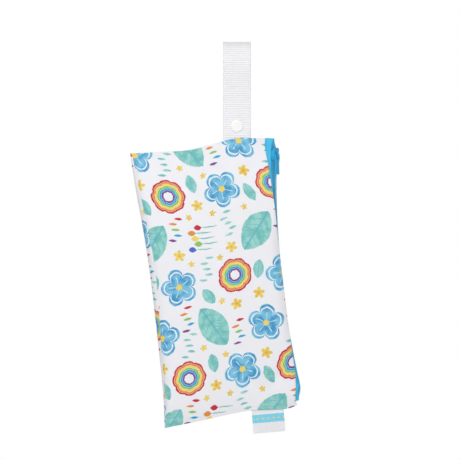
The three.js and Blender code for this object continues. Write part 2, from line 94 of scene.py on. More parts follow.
TAPE = 0.8
TAPE_BOTTOM = 223.5
TAPE_COLUMNS = 30
LEAST_TAPE_DEPTH = 1.2
UNDER_GAP = 0.45
WRAP_SHARE = 0.2
WRAP_DEPTH = 3
WRAP_END = 0.955
WRAP_RAMP = 22
COIL_TOP = 11.4
COIL_BOTTOM = 223
COIL_PITCH = 1.4
COIL_WIRE = 0.31
COIL_MIDDLE = 0.98
COIL_SINK = 1.2
COIL_SINK_RUN = 8
COIL_RISE = 0.72
COIL_DEPTH = 1.45
COIL_REACH = 1.2
COIL_STEPS = 14
COIL_SIDES = 6

SLIDER_DOWN = 14.4
SLIDER_LENGTH = 12
SLIDER_WIDTH = 7.8
SLIDER_TAIL_WIDTH = 6.6
PLATE_CORNER = 1.9
PLATE_BEVEL = 0.28
INNER_PLATE_WIDTH = 4.6
INNER_TAIL_WIDTH = 3.8
INNER_CORNER = 1.5
INNER_BEVEL = 0.25
INNER_DEPTH = 1.3
CORNER_STEPS = 8
PLATE = 0.75
CHANNEL = 2.3
FLANGE = 0.7
FLANGE_LIFT = 0.35
FLANGE_LOW = -4.4
FLANGE_HIGH = 4
FLANGE_BEVEL = 0.2
POST_WIDTH = 1
POST_LOW = 3.2
POST_HIGH = 5.6
POST_BEVEL = 0.1
BRIDGE_WIDTH = 2.2
BRIDGE_LENGTH = 5.6
BRIDGE_OPENING = 1.8
BRIDGE_TOP = 0.75
BRIDGE_FOOT = 0.5
BRIDGE_SINK = 0.3
BRIDGE_PASSES = 4
BRIDGE_STEPS = 40
BRIDGE_SIDES = 16
PULL_LENGTH = 16.4
PULL_HEAD_WIDTH = 5.8
PULL_WAIST_WIDTH = 4.4
PULL_END_WIDTH = 5.4
PULL_THICKNESS = 1.2
PULL_BAR = 0.9
PULL_NECK = 1
PULL_TOE = 1.4
PULL_BEVEL = 0.3
EYE_WIDTH = 3
EYE_LENGTH = 3.8
BEVEL_STEPS = 3
ROUND_PROFILE = 0.5
CORNER_CUT = 0.25
CORNER_PASSES = 3

LABEL_WIDTH = 26.4
LABEL_DROP = 18.8
LABEL_TAIL = 5.5
LABEL_LAYER = 0.34
LABEL_HALF_DEPTH = 0.42
LABEL_ACROSS = 87.7
LABEL_TURN = math.radians(2)
LABEL_FOLD_STEPS = 16
LABEL_ROWS = 120
LABEL_COLUMNS = 28
RIPPLE = 0.25
RIPPLE_RATE = 0.28
RIPPLE_START = 0.6

# The snap cap's shoulder and dome, as the points of two curves: in from its rim and up from the ribbon
CAP_SHOULDER = ((0, 0.22), (0.1, 0.57), (0.6, 0.98), (1.2, 1.1))
CAP_DOME = ((1.2, 1.1), (2.675, 1.15), (3.85, 1.2), (5.33, 1.2))

# The angles round a cloth's edge, from outside to inside
RIM_ANGLES = np.radians([45, 90, 135])

# Down the pouch: the fold's place, the panels' free edge, half the depth at that edge and at the crown,
# and the reach of the rounded fold
POUCH_ROWS = (
    (0, 0, 113.2, 1.7, 1.7, 4),
    (0.04, 0.3, 112.3, 3.6, 3.4, 6),
    (0.1, 0.8, 113.1, 5.4, 5.6, 8),
    (0.15, 1.3, 113.5, 7, 7, 9),
    (0.23, 2.4, 114.2, 8, 8.4, 10),
    (0.32, 3.5, 114.2, 8.3, 9.2, 11),
    (0.44, 4.3, 113.9, 8.3, 9.6, 11),
    (0.67, 4, 113.7, 8.3, 9.4, 11),
    (0.82, 3.4, 114.3, 8.2, 8.6, 10),
    (0.88, 2.9, 114.2, 7.9, 7.4, 9),
    (0.935, 2.2, 113.2, 6.6, 5.4, 8),
    (0.975, 1.2, 111.9, 3.6, 3, 6),
    (1, 0.6, 112.8, 1.7, 1.7, 4),
)

# Across the pouch: how far down its top and bottom seams are
EDGE_ROWS = (
    (0, 0, 231), (25, 1.8, 229), (50, 3.2, 226.6), (72, 0.4, 225),
    (90, -1.5, 226.2), (105, 0.2, 227.2), (116, 1.4, 224.4), (124, 2.9, 222.5),
)

# Down the zip: its closed middle, how far that lies in front of mid depth, the degrees by which it faces the
# front, the front and the back tape up to their turns, half the slit, which is drawn tighter above the slider
# than in the solids, and the tape under the panel
ZIP_ROWS = (
    (0, 121, 0, 0, 1.3, 1.3, 0.15, 0.3),
    (0.02, 119.62, 0.8, 38, 3, 2.6, 0.2, 0.3),
    (0.035, 119.2, 0.8, 38, 3.4, 4.4, 0.5, 0.3),
    (0.06, 118.5, 0.8, 38, 3.4, 4.4, 0.95, 1),
    (0.09, 117.66, 0.8, 38, 3.4, 4.4, 0.8, 3),
    (0.105, 117.24, 0.8, 38, 3.4, 4.4, 0.8, 3.6),
    (0.145, 116.7, 0.5, 24, 3.9, 4.5, 0.8, 5),
    (0.23, 114.8, 0.1, 8, 4.4, 4.5, 0.8, 5.6),
    (0.32, 113.2, 0, 0, 4.5, 4.5, 0.8, 5.6),
    (0.44, 111.8, 0, 0, 4.5, 4.5, 0.8, 5.6),
    (0.67, 111.3, 0, 0, 4.5, 4.5, 0.8, 5.6),
    (0.82, 113.3, 0, 0, 4.5, 4.5, 0.8, 5.6),
    (0.88, 114.3, 0, 0, 4.3, 4.3, 0.8, 5.6),
    (0.935, 115.4, 0, 0, 3.7, 3.7, 0.8, 4),
    (0.955, 114.8, 0, 0, 3, 3, 0.5, 1.6),
    (0.975, 114.1, 0, 0, 1.8, 1.8, 0.3, 0.3),
    (1, 114.8, 0, 0, 1.2, 1.2, 0.15, 0.3),
)

# Down the pouch: how far the side seam lies in from the fold's edge, on the front
SIDE_SEAM_ROWS = ((0, 1.5), (0.1, 2.5), (0.3, 4.3), (0.45, 4.8), (0.6, 3.5), (0.75, 1.7), (1, 1.2))

# Down the pouch: how far the cloth rolls back at the panel's free edge
ROLL_WIDTH = 8
ROLL_ROWS = (
    (0, 0), (0.24, 0), (0.31, 1.6), (0.4, 2.8), (0.67, 2.8),
    (0.78, 2.2), (0.86, 0.8), (0.93, 0), (1, 0),
)

# Soft folds: across, down, degrees from upright, length, width, depth, and -1 for the front or 1 for the back
FOLD_FADE = 24
FOLD_ROWS = (
    (76, 203, 40, 17, 6, 1.7, -1),
    (97, 202, -24, 15, 5, 1.4, -1),
    (112, 206, -30, 28, 18, 3, -1),
    (104, 196, -58, 16, 5, 0.7, -1),
    (70, 24, 38, 17, 7, 1.3, -1),
    (98, 26, -20, 15, 6, 1, -1),
    (30, 206, -30, 18, 8, 0.9, 1),
    (84, 204, 28, 18, 7, 1, 1),
    (66, 26, 34, 18, 8, 0.9, 1),
)

# The print's repeat, and its motifs in it: their size, and each one's place across and down and its turn
PRINT_REPEAT = (88, 152)
BACK_PANEL_SHIFT = (31, 47)
BIG_BUTTERCUPS = ((1, 27, 0), (45, 48, 20), (66, 88, 45), (22, 88, 10), (66, 136, 30), (85, 129, 15))
SMALL_BUTTERCUPS = (
    (55, 24, 15), (37, 15, 40), (56, 57, 5), (36, 57, 50),
    (31, 96, 20), (55, 95, 10), (54, 131, 35), (83, 57, 25),
)
PRINT_ROWS = (
    ("blossom", 15.5, ((2, 2, 12), (68, 39, 50), (19, 114, 33))),
    ("leaf", 20, ((46, 151, 32), (1, 77, -40))),
    ("rosette", 14.5, ((23, 38, 0), (66, 112, 20))),
    ("tulips", 1, ((45, 76, -6),)),
    ("leaf", 8, ((44, 29, 8), (2, 45, 24), (43, 125, 36), (86, 109, -12))),
    ("leaflets", 0.85, ((25, 11, -8), (67, 68, 10), (43, 102, -8))),
    ("petals", 0.85, ((67, 7, 6), (23, 66, -10), (24, 141, 8))),
    ("buttercup", 5, BIG_BUTTERCUPS),
    ("buttercup", 3, SMALL_BUTTERCUPS),
)

# How the print is painted: a pair for an edge, a heart or an end says where its soft edge starts and ends
WOBBLE = 1.5
WOBBLE_NOISE = (0.35, 3)
BLOT_NOISE = (0.16, 4)
WASH_EDGE = (0.36, 0.66)
FLOWER_PETALS = 5
PETAL_DIP = 0.6
PETAL_ROUND = 0.55
PETAL_LINE_AT = 0.82
PETAL_LINE_EDGE = (0.05, 0.025)
PETAL_VEIN_EDGE = (0.985, 0.998)
PETAL_VEIN_END = (0.62, 0.5)
BLOSSOM_HEART = (0.19, 0.15)
BLOSSOM_EDGE = (1.015, 0.985)
BUTTERCUP_DIP = 0.45
BUTTERCUP_HEART = (0.26, 0.2)
BUTTERCUP_EDGE = (1.04, 0.96)
LEAF_HALF = 0.55
LEAF_ROUND = 0.8
LEAF_LEAST = 0.0001
LEAF_VEINS = 3.2
LEAF_SLANT = 2.6
LEAF_LINES = 0.75
LEAF_RIB_EDGE = (0.04, 0.022)
LEAF_VEIN_EDGE = (0.07, 0.03)
LEAF_VEIN_END = (0.85, 0.7)
LEAF_TIP_EDGE = (1, 0.985)
LEAF_EDGE = (1.03, 0.97)
ROSETTE_LOBES = 8
ROSETTE_DIP = 0.91
ROSETTE_ROUND = 0.6
ROSETTE_START = 0.28
ROSETTE_STEP = 0.12
ROSETTE_LINE = 0.108
ROSETTE_EDGE = (1.01, 0.995)
GROUP_ROWS = 2
ROW_SHARE = 1 / (2 * GROUP_ROWS + 1)
ROW_STAGGER = 3
STAGGER_RATE = 2.2
LENS_EDGE = (0.12, -0.12)
PETAL_PITCH = 5.5
PETAL_SIZE = (4.2, 1.25)
TULIP_PITCH = 4.6
BUD_AT = -7.5
BUD_SIZE = (3.4, 2.3)
STEM_AT = 2
STEM_SIZE = (7.5, 0.5)

# sRGB paints; the pairs are mixed unevenly
CLOTH_WHITE = "f0f0f5"
BLUES = ("7cc3e2", "3d97ca")
TEAL = "6fbfb8"
TEALS = ("9bd6cf", TEAL)
YELLOW = "eed465"
YELLOWS = (YELLOW, "e6bf45")
RED = "c8203a"
ORANGE = "e5903a"
GREEN = "8cc460"
SKY = "18a4dc"
INDIGO = "4a66cf"
PURPLE = "7d4590"
PETAL_LINE = "e8f3f8"
PETAL_VEIN = "cfe8f2"
LEAF_LINE = "58b0c4"
TAPE_BLUES = ("42b9e7", "5bccf4")
# Painted light: the coil's blues are lighter than the tape's to lift the shade of the recess where the coil
# lies
SHADE_LIFTED_COIL_BLUES = ("5acdf2", "70d9f8")
ENAMEL_BLUES = ("2aa8dc", "40bcec")
# The ribbon's darker white serves its uneven tone and the painted shade in its rib grooves
RIBBON_WHITE_AND_GROOVE_SHADE = ("f6f6f8", "e4e4e8")
SNAP_WHITES = ("f9f9f8", "fdfdfc")
LABEL_WHITES = ("f1f1f5", "e9e9ee")
LABEL_BLUE = "7fd4ee"
FLOOR_WHITES = ("f9f9f9", "fcfcfc")
PETAL_COLOURS = (RED, ORANGE, GREEN, SKY, PURPLE)
ROSETTE_COLOURS = (PURPLE, SKY, GREEN, YELLOW, ORANGE, RED)
TULIP_COLOURS = (RED, ORANGE, YELLOW, GREEN, INDIGO)

# Each material's sheen and specular level, least roughness and its spread, relief strength and depth,
# and the scale and detail of its unevenness, per millimetre of cloth or metre of another piece
FINISHES = {
    "printed_cloth": (0.12, 0.35, 0.56, 0.14, 0.18, 0.08, 0.9, 3),
    "zip_tape": (0.15, 0.3, 0.7, 0.12, 0.25, 0.1, 1.1, 3),
    "zip_coil": (0, 0.45, 0.34, 0.2, 0, 0, 900, 2),
    "slider_paint": (0, 0.5, 0.26, 0.16, 0.12, 0.05, 1400, 3),
    "ribbon": (0.1, 0.35, 0.62, 0.15, 0.08, 0.06, 0.8, 3),
    "snap_plastic": (0, 0.5, 0.16, 0.14, 0, 0, 320, 3),
    "label_satin": (0.1, 0.5, 0.36, 0.15, 0.2, 0.05, 0.7, 3),
    "floor": (0, 0.2, 0.8, 0, 0, 0, 3, 2),
}
CLOTHS = ("printed_cloth", "zip_tape", "ribbon", "label_satin")

# The materials' threads and shades
WALE_PITCH = 0.7
COURSE_PITCH = 0.55
COURSE_SHARE = 0.4
KNIT_UNEVEN = 2.5
KNIT_ROUGH_EDGE = (0.3, 0.8)
TWILL_WIDTH = 0.9
TWILL_PITCH = 0.6
TWILL_SHADE = 0.12
TAPE_UNEVEN_EDGE = (0.3, 0.75)
TAPE_SHADE_EDGE = (-0.2, 1.2)
ENAMEL_NOISE = (260, 3)
WARP_PITCH = 0.32
RIBBON_UNEVEN = 0.3
# How strongly painted shade darkens the ribbon's rib grooves
RIB_GROOVE_SHADE = 0.5
RIBBON_SHADE_EDGE = (-0.1, 0.75)
SATIN_PITCH = 0.35
SATIN_SHADE_EDGE = (0.3, 0.7)
STRIPE_DOWN = 7
STRIPE_EDGE = (3.6, 3.3)
MARK_HALF = 2.2
MARK_SIZE = (1.3, 0.6)

# The picture's frame at the object, and where the camera stands
FRAME_WIDTH = 383.33
CAMERA_PLACE = (-5.83, -2000, -155.67)
SENSOR = 36
FLOOR_LEVEL = -550
FLOOR_RADIUS = 1500
CLIP_END = 50

# The lights' places and sizes in metres, and their power; the sky's strength, and its rise upward
LIGHT_TARGET = (0, 0, -0.18)
LIGHTS = (
    ("key_light", (-0.22, -1.05, 0.38), 0.5, 8),
    ("fill_light", (1.5, -0.6, 0.1), 1.4, 1.4),
    ("back_light", (0.6, 1.5, 0.6), 1.2, 14),
)
SKY_LEVEL = 0.26
SKY_RISE = 0.18


def curve_through(keys, heights):
    """A smooth curve through heights at keys."""
    slopes = np.gradient(heights) / np.gradient(keys)

    def curve(key):
        i = np.clip(np.searchsorted(keys, key) - 1, 0, len(keys) - 2)
        span = keys[i + 1] - keys[i]
        s = np.clip((key - keys[i]) / span, 0, 1)
        rise = smooth_step(s, 0, 1)
        leave = s * (1 - s) ** 2 * span * slopes[i]
        arrive = s * s * (s - 1) * span * slopes[i + 1]
        return heights[i] + (heights[i + 1] - heights[i]) * rise + leave + arrive

    return curve


def curves(rows):
    """A curve for each column of a table after the first, read by the first."""
    keys, *others = np.array(rows, dtype=float).T
    return [curve_through(keys, heights) for heights in others]


pouch_left, pouch_panel, pouch_gap, pouch_bulge, pouch_nose = curves(POUCH_ROWS)
edge_top, edge_bottom = curves(EDGE_ROWS)
zip_chain, zip_forward, zip_turn, zip_bend, zip_behind, zip_slit, zip_margin = curves(ZIP_ROWS)
side_seam = curves(SIDE_SEAM_ROWS)[0]
pouch_roll = curves(ROLL_ROWS)[0]


def smooth_step(value, low, high):
    s = np.clip((value - low) / (high - low), 0, 1)
    return s * s * (3 - 2 * s)


def stacked(*coordinates):
    """Points from their coordinates."""
    return np.stack(np.broadcast_arrays(*coordinates), axis=-1)


def place(across, depth, at):
    """Points of the pouch in millimetres: leaning, and hung below the ribbon."""
    top = edge_top(across)
    x = across - RIBBON_ACROSS
    z = edge_top(RIBBON_ACROSS) - top - (edge_bottom(across) - top) * at
    cosine, sine = math.cos(LEAN), math.sin(LEAN)
    return stacked(x * cosine - z * sine, depth, x * sine + z * cosine - SEAM_DROP)


def edge_roll(at, across):
    """How far the cloth falls back near the panel's free edge."""
    near = np.clip(1 - (pouch_panel(at) - across) / ROLL_WIDTH, 0, 1)
    return pouch_roll(at) * near * near


def full_thickness(at, across):
    """Half the pouch's depth where the rounded fold doesn't narrow it."""
    left = pouch_left(at)
    share = (across - left) / (pouch_panel(at) - left)
    crown = 1 - np.abs(2 * share - 1) ** CROWN_POWER
    gap = pouch_gap(at)
    return gap + (pouch_bulge(at) - gap) * crown - edge_roll(at, across)


def nose_share(at, across):
    """How much of the depth is left in the rounded fold, from 0 at its edge to 1."""
    short = 1 - np.clip((across - pouch_left(at)) / pouch_nose(at), 0, 1)
    return np.sqrt(1 - short * short)


def fold_depth(across, down, face):
    """How deep the soft folds press the cloth in, fading out towards the seams."""
    depth = np.zeros_like(across)
    for fold_across, fold_down, turn, length, width, deep, side in FOLD_ROWS:
        turn = math.radians(turn)
        right = across - fold_across
        below = down - fold_down
        along = (right * math.sin(turn) + below * math.cos(turn)) / length
        beside = (right * math.cos(turn) - below * math.sin(turn)) / width
        depth += np.where(face == side, deep * np.exp(-along * along - beside * beside), 0)
    return depth * smooth_step(np.minimum(down, POUCH_LENGTH - down), SEAM_PINCH, FOLD_FADE)


def show(name, data):
    """A new object in the scene."""
    item = bpy.data.objects.new(name, data)
    bpy.context.scene.collection.objects.link(item)
    return item


def add_mesh(name, points, faces, material, cloth=None):
    """A smooth-shaded object from points in millimetres; cloth is each point's spot on the flat cloth."""
    mesh = bpy.data.meshes.new(name)
    mesh.from_pydata((np.asarray(points) * MM).tolist(), [], faces)
    if cloth is not None:
        layer = mesh.attributes.new("cloth", "FLOAT_VECTOR", "POINT")
        layer.data.foreach_set("vector", np.asarray(cloth, dtype=np.float32).ravel())
    mesh.shade_smooth()
    mesh.update()
    mesh.materials.append(material)
    return show(name, mesh)


def unit(vectors):
    return vectors / np.linalg.norm(vectors, axis=-1, keepdims=True)


def square_to(vectors, axes):
    """Unit vectors along the part of vectors that is square to unit axes."""
    return unit(vectors - axes * np.sum(vectors * axes, axis=-1, keepdims=True))


def grid_normals(grid):
    return unit(np.cross(np.gradient(grid, axis=1), np.gradient(grid, axis=0)))


def quads(*corners):
    """Faces from the numbers of their four corners."""
    return np.stack(corners, axis=-1).reshape(-1, 4).tolist()


def cloth_sheet(name, outside, thickness, cloth, material):
    """A sheet with rounded edges, from the grid of its outside and each place's spot on the flat cloth."""
    rows, columns = outside.shape[:2]
    count = rows * columns
    normals = grid_normals(outside)
    thick = np.broadcast_to(thickness, (rows, columns))[..., None]
    inside = outside - normals * thick
    middle = (outside + inside) / 2
    places = np.arange(count).reshape(rows, columns)
    edge = np.concatenate([places[0, :-1], places[:-1, -1], places[-1, :0:-1], places[:0:-1, 0]])
    i, j = np.divmod(edge, columns)
    inward = middle[np.clip(i, 1, rows - 2), np.clip(j, 1, columns - 2)] - middle[i, j]
    outward = -square_to(inward, normals[i, j])
    points = [outside.reshape(-1, 3), inside.reshape(-1, 3)]
    spots = [cloth.reshape(-1, 3), cloth.reshape(-1, 3)]
    rings = [edge]
    for k, angle in enumerate(RIM_ANGLES):
        swing = normals[i, j] * math.cos(angle) + outward * math.sin(angle)
        points.append(middle[i, j] + swing * thick[i, j] / 2)
        spots.append(cloth[i, j])
        rings.append(2 * count + k * len(edge) + np.arange(len(edge)))
    rings.append(edge + count)
    front = (places[:-1, :-1], places[:-1, 1:], places[1:, 1:], places[1:, :-1])
    faces = quads(*front) + quads(*(corner + count for corner in reversed(front)))
    for upper, lower in zip(rings, rings[1:]):
        faces += quads(lower, np.roll(lower, -1), np.roll(upper, -1), upper)
    return add_mesh(name, np.concatenate(points), faces, material, np.concatenate(spots))


def line_length(points):
    """How far along a line of points each one is."""
    steps = np.linalg.norm(np.diff(points, axis=0), axis=-1)
    return np.concatenate([[0], np.cumsum(steps)])


def even_points(points, count):
    """The same line with evenly spaced points."""
    length = line_length(points)
    wanted = np.linspace(0, length[-1], count)
    return stacked(*(np.interp(wanted, length, values) for values in points.T))


def rounded_line(points, passes=CORNER_PASSES):
    """A line whose corners are cut until they are round."""
    points = np.asarray(points, float)
    for _ in range(passes):
        step = np.diff(points, axis=0) * CORNER_CUT
        cut = np.stack([points[:-1] + step, points[1:] - step], axis=1).reshape(-1, points.shape[1])
        points = np.concatenate([points[:1], cut, points[-1:]])
    return points


def bezier(corners, steps):
    """A curve from the first of four points to the last, drawn towards the two between."""
    t = np.linspace(0, 1, steps + 1)[:, None]
    start, first, second, end = np.asarray(corners, float)
    return (1 - t) ** 3 * start + 3 * t * (1 - t) ** 2 * first + 3 * t * t * (1 - t) * second + t**3 * end


def ring_faces(rings, steps):
    """The faces of rings of points joined in a row, with both ends closed."""
    ring = np.arange(rings * steps).reshape(rings, steps)
    after = np.roll(ring, -1, axis=1)
    sides = quads(ring[:-1], after[:-1], after[1:], ring[1:])
    return sides + [ring[0, ::-1].tolist(), ring[-1].tolist()]


def tube(path, sideways, radii, sides):
    """Points and faces of a closed tube round a path; sideways gives the direction of the first radius."""
    forward = unit(np.gradient(path, axis=0))
    first = square_to(np.broadcast_to(sideways, path.shape), forward)
    second = np.cross(forward, first)
    angles = np.linspace(0, 2 * math.pi, sides, endpoint=False)[:, None]
    ring = first[:, None] * np.cos(angles) * radii[0] + second[:, None] * np.sin(angles) * radii[1]
    return (path[:, None] + ring).reshape(-1, 3), ring_faces(len(path), sides)


def lathe(profile, steps):
    """Points and faces of a profile, radius and depth, turned about the y axis."""
    angles = np.linspace(0, -2 * math.pi, steps, endpoint=False)
    radius, depth = profile.T[..., None]
    points = stacked(radius * np.cos(angles), depth, radius * np.sin(angles))
    return points.reshape(-1, 3), ring_faces(len(profile), steps)


def gather(parts):
    """Several points-and-faces pairs as one."""
    points, faces = [], []
    for part_points, part_faces in parts:
        faces += [[len(points) + index for index in face] for face in part_faces]
        points += list(part_points)
    return points, faces


def rounded_slab(outline, low, high, bevel):
    """Points and faces of a slab between two heights on x, over an outline in y and z, with rounded edges."""
    shape = bmesh.new()
    base = shape.faces.new([shape.verts.new((low, y, z)) for y, z in outline])
    lifted = bmesh.ops.extrude_face_region(shape, geom=[base])
    moved = [item for item in lifted["geom"] if isinstance(item, bmesh.types.BMVert)]
    bmesh.ops.translate(shape, verts=moved, vec=(high - low, 0, 0))
    bmesh.ops.recalc_face_normals(shape, faces=shape.faces)
    rims = [e for e in shape.edges if abs(e.verts[0].co.x - e.verts[1].co.x) < bevel]
    bmesh.ops.bevel(
        shape, geom=rims, offset=bevel, segments=BEVEL_STEPS, profile=ROUND_PROFILE, affect="EDGES"
    )
    shape.verts.index_update()
    points = [tuple(vert.co) for vert in shape.verts]
    faces = [tuple(vert.index for vert in face.verts) for face in shape.faces]
    shape.free()
    return points, faces


def paint(code):
    """An sRGB paint as the linear colour that the nodes use."""
    channels = [int(code[i : i + 2], 16) / 255 for i in (0, 2, 4)]
    return (*Color(channels).from_srgb_to_scene_linear(), 1)


class Nodes:
    """Short calls that add nodes to one tree."""

    def __init__(self, owner):
        self.tree = owner.node_tree

    def add(self, kind, inputs=(), **settings):
        node = self.tree.nodes.new(kind)
        for name, value in settings.items():
            setattr(node, name, value)
        for key, value in dict(inputs).items():
            self.feed(node.inputs[key], value)
        return node

    def feed(self, socket, value):
        if isinstance(value, bpy.types.NodeSocket):
            self.tree.links.new(value, socket)
        else:
            socket.default_value = value

    def math(self, operation, *values):
        return self.add("ShaderNodeMath", enumerate(values), operation=operation).outputs[0]

    def times(self, first, second):
        return self.math("MULTIPLY", first, second)

    def minus(self, first, second):
        return self.math("SUBTRACT", first, second)

    def share(self, first, second):
        return self.math("DIVIDE", first, second)

    def absolute(self, value):
        return self.math("ABSOLUTE", value)

    def line(self, value, slope, start):
        return self.math("MULTIPLY_ADD", value, slope, start)

    def wave(self, value, pitch):
        return self.math("SINE", self.times(value, 2 * math.pi / pitch))

    def vector(self, operation, *values):
        return self.add("ShaderNodeVectorMath", enumerate(values), operation=operation).outputs[0]

    def scaled(self, vector, factor):
        inputs = {"Vector": vector, "Scale": factor}
        return self.add("ShaderNodeVectorMath", inputs, operation="SCALE").outputs[0]

    def turned(self, vector, degrees):
        inputs = {"Vector": vector, "Angle": math.radians(degrees)}
        return self.add("ShaderNodeVectorRotate", inputs, rotation_type="Z_AXIS").outputs[0]

    def split(self, vector):
        return self.add("ShaderNodeSeparateXYZ", {"Vector": vector}).outputs[:2]

    def length(self, vector):
        return self.add("ShaderNodeVectorMath", {0: vector}, operation="LENGTH").outputs["Value"]

    def lobes(self, vector, count):
        """1 at the middle of each lobe round a flower, and 0 between them."""
        x, y = self.split(vector)
        return self.absolute(self.math("COSINE", self.times(self.math("ARCTAN2", y, x), count / 2)))

    def reach(self, lobes, dip):
        """How far a flower's outline reaches: 1 at its lobes, and dip between them."""
        return self.line(lobes, 1 - dip, dip)

    def fade(self, value, low, high):
        """0 at low and 1 at high, with an eased way between them."""
        inputs = {"Value": value, "From Min": low, "From Max": high}
        return self.add("ShaderNodeMapRange", inputs, interpolation_type="SMOOTHSTEP").outputs[0]

    def mix(self, factor, first, second):
        inputs = {0: factor, 6: first, 7: second}
        return self.add("ShaderNodeMix", inputs, data_type="RGBA").outputs[2]

    def tint(self, factor, codes):
        return self.mix(factor, paint(codes[0]), paint(codes[1]))

    def noise(self, vector, scale, detail, output="Fac"):
        inputs = {"Vector": vector, "Scale": scale, "Detail": detail}
        return self.add("ShaderNodeTexNoise", inputs).outputs[output]

    def bands(self, value, stops):
        """Plain colours, each from its stop to the next one."""
        node = self.add("ShaderNodeValToRGB", {"Fac": value})
        node.color_ramp.interpolation = "CONSTANT"
        elements = node.color_ramp.elements
        while len(elements) < len(stops):
            elements.new(1)
        for element, (position, code) in zip(elements, stops):
            element.position = position
            element.color = paint(code)
        return node.outputs[0]


def make_material(name, surface):
    """A material in its finish; surface gives its colour, how rough it is from 0 to 1, and its relief."""
    sheen, specular, least, spread, strength, depth, scale, detail = FINISHES[name]
    material = bpy.data.materials.new(name)
    material.use_nodes = True
    nodes = Nodes(material)
    if name in CLOTHS:
        spot = nodes.add("ShaderNodeAttribute", attribute_name="cloth").outputs["Vector"]
    else:
        spot = nodes.add("ShaderNodeTexCoord").outputs["Object"]
    colour, rough, relief = surface(nodes, spot, nodes.noise(spot, scale, detail))
    inputs = material.node_tree.nodes["Principled BSDF"].inputs
    inputs["Sheen Weight"].default_value = sheen
    inputs["Specular IOR Level"].default_value = specular
    inputs["Roughness"].default_value = least + spread / 2
    nodes.feed(inputs["Base Color"], colour)
    if spread > 0:
        nodes.feed(inputs["Roughness"], nodes.line(rough, spread, least))
    if strength > 0:
        bump = {"Height": relief, "Strength": strength, "Distance": depth * MM}
        nodes.feed(inputs["Normal"], nodes.add("ShaderNodeBump", bump).outputs[0])
    return material


def plain_surface(codes):
    """A smooth surface in two unevenly mixed paints."""
    return lambda nodes, spot, uneven: (nodes.tint(uneven, codes), uneven, None)


def blossom(nodes, spot, wash):
    """Five rounded petals in blue wash, with a pale line inside their edge, veins and a yellow heart."""
    radius = nodes.length(spot)
    petal = nodes.lobes(spot, FLOWER_PETALS)
    share = nodes.share(radius, nodes.reach(nodes.math("POWER", petal, PETAL_ROUND), PETAL_DIP))
    colour = nodes.tint(wash, BLUES)
    line = nodes.fade(nodes.absolute(nodes.minus(share, PETAL_LINE_AT)), *PETAL_LINE_EDGE)
    colour = nodes.mix(line, colour, paint(PETAL_LINE))
    vein = nodes.times(nodes.fade(petal, *PETAL_VEIN_EDGE), nodes.fade(radius, *PETAL_VEIN_END))
    colour = nodes.mix(vein, colour, paint(PETAL_VEIN))
    colour = nodes.mix(nodes.fade(radius, *BLOSSOM_HEART), colour, paint(YELLOW))
    return colour, nodes.fade(share, *BLOSSOM_EDGE)


def leaf(nodes, spot, wash):
    """A pointed leaf in teal wash, with a bluer rib and veins."""
    x, y = nodes.split(spot)
    side = nodes.absolute(x)
    open_share = nodes.math("MAXIMUM", nodes.minus(1, nodes.times(y, y)), LEAF_LEAST)
    share = nodes.share(side, nodes.times(nodes.math("POWER", open_share, LEAF_ROUND), LEAF_HALF))
    phase = nodes.minus(nodes.times(y, LEAF_VEINS), nodes.times(side, LEAF_SLANT))
    vein = nodes.fade(nodes.math("PINGPONG", phase, 0.5), *LEAF_VEIN_EDGE)
    vein = nodes.times(vein, nodes.fade(share, *LEAF_VEIN_END))
    lines = nodes.math("MAXIMUM", nodes.fade(side, *LEAF_RIB_EDGE), vein)
    colour = nodes.mix(nodes.times(lines, LEAF_LINES), nodes.tint(wash, TEALS), paint(LEAF_LINE))
    inside = nodes.fade(nodes.absolute(y), *LEAF_TIP_EDGE)
    return colour, nodes.times(nodes.fade(share, *LEAF_EDGE), inside)


def rosette(nodes, spot, wash):
    """Gently scalloped rings in six colours, with thin pale gaps."""
    lobes = nodes.math("POWER", nodes.lobes(spot, ROSETTE_LOBES), ROSETTE_ROUND)
    radius = nodes.share(nodes.length(spot), nodes.reach(lobes, ROSETTE_DIP))
    stops = [(0, CLOTH_WHITE)]
    for ring, code in enumerate(ROSETTE_COLOURS):
        inner = ROSETTE_START + ring * ROSETTE_STEP
        stops += [(inner, code), (inner + ROSETTE_LINE, CLOTH_WHITE)]
    return nodes.bands(radius, stops), nodes.fade(radius, *ROSETTE_EDGE)


def buttercup(nodes, spot, wash):
    """A small yellow flower of five petals."""
    radius = nodes.length(spot)
    share = nodes.share(radius, nodes.reach(nodes.lobes(spot, FLOWER_PETALS), BUTTERCUP_DIP))
    heart = nodes.fade(radius, *BUTTERCUP_HEART)
    return nodes.mix(heart, nodes.tint(wash, YELLOWS), paint(ORANGE)), nodes.fade(share, *BUTTERCUP_EDGE)


def group_row(nodes, spot, pitch):
    """Repeats a spot in five rows: its place in the nearest row, and that row's number from -2 to 2."""
    x, y = nodes.split(spot)
    row = nodes.math("ROUND", nodes.share(y, pitch))
    row = nodes.math("MINIMUM", nodes.math("MAXIMUM", row, -GROUP_ROWS), GROUP_ROWS)
    below = nodes.minus(y, nodes.times(row, pitch))
    shift = nodes.times(nodes.math("SINE", nodes.times(row, STAGGER_RATE)), ROW_STAGGER)
    return nodes.minus(x, shift), below, row


def lens(nodes, x, y, length, width):
    """The mask of a pointed oval along x."""
    along = nodes.share(x, length)
    half = nodes.times(nodes.minus(1, nodes.times(along, along)), width)
    return nodes.fade(nodes.minus(nodes.absolute(y), half), *LENS_EDGE)


def row_paint(nodes, row, codes):
    stops = [(i * ROW_SHARE, code) for i, code in enumerate(codes)]
    return nodes.bands(nodes.line(row, ROW_SHARE, 0.5), stops)


def leaflets(nodes, spot, wash):
    x, y, _ = group_row(nodes, spot, PETAL_PITCH)
    return nodes.tint(wash, TEALS), lens(nodes, x, y, *PETAL_SIZE)


def petals(nodes, spot, wash):
    x, y, row = group_row(nodes, spot, PETAL_PITCH)
    return row_paint(nodes, row, PETAL_COLOURS), lens(nodes, x, y, *PETAL_SIZE)


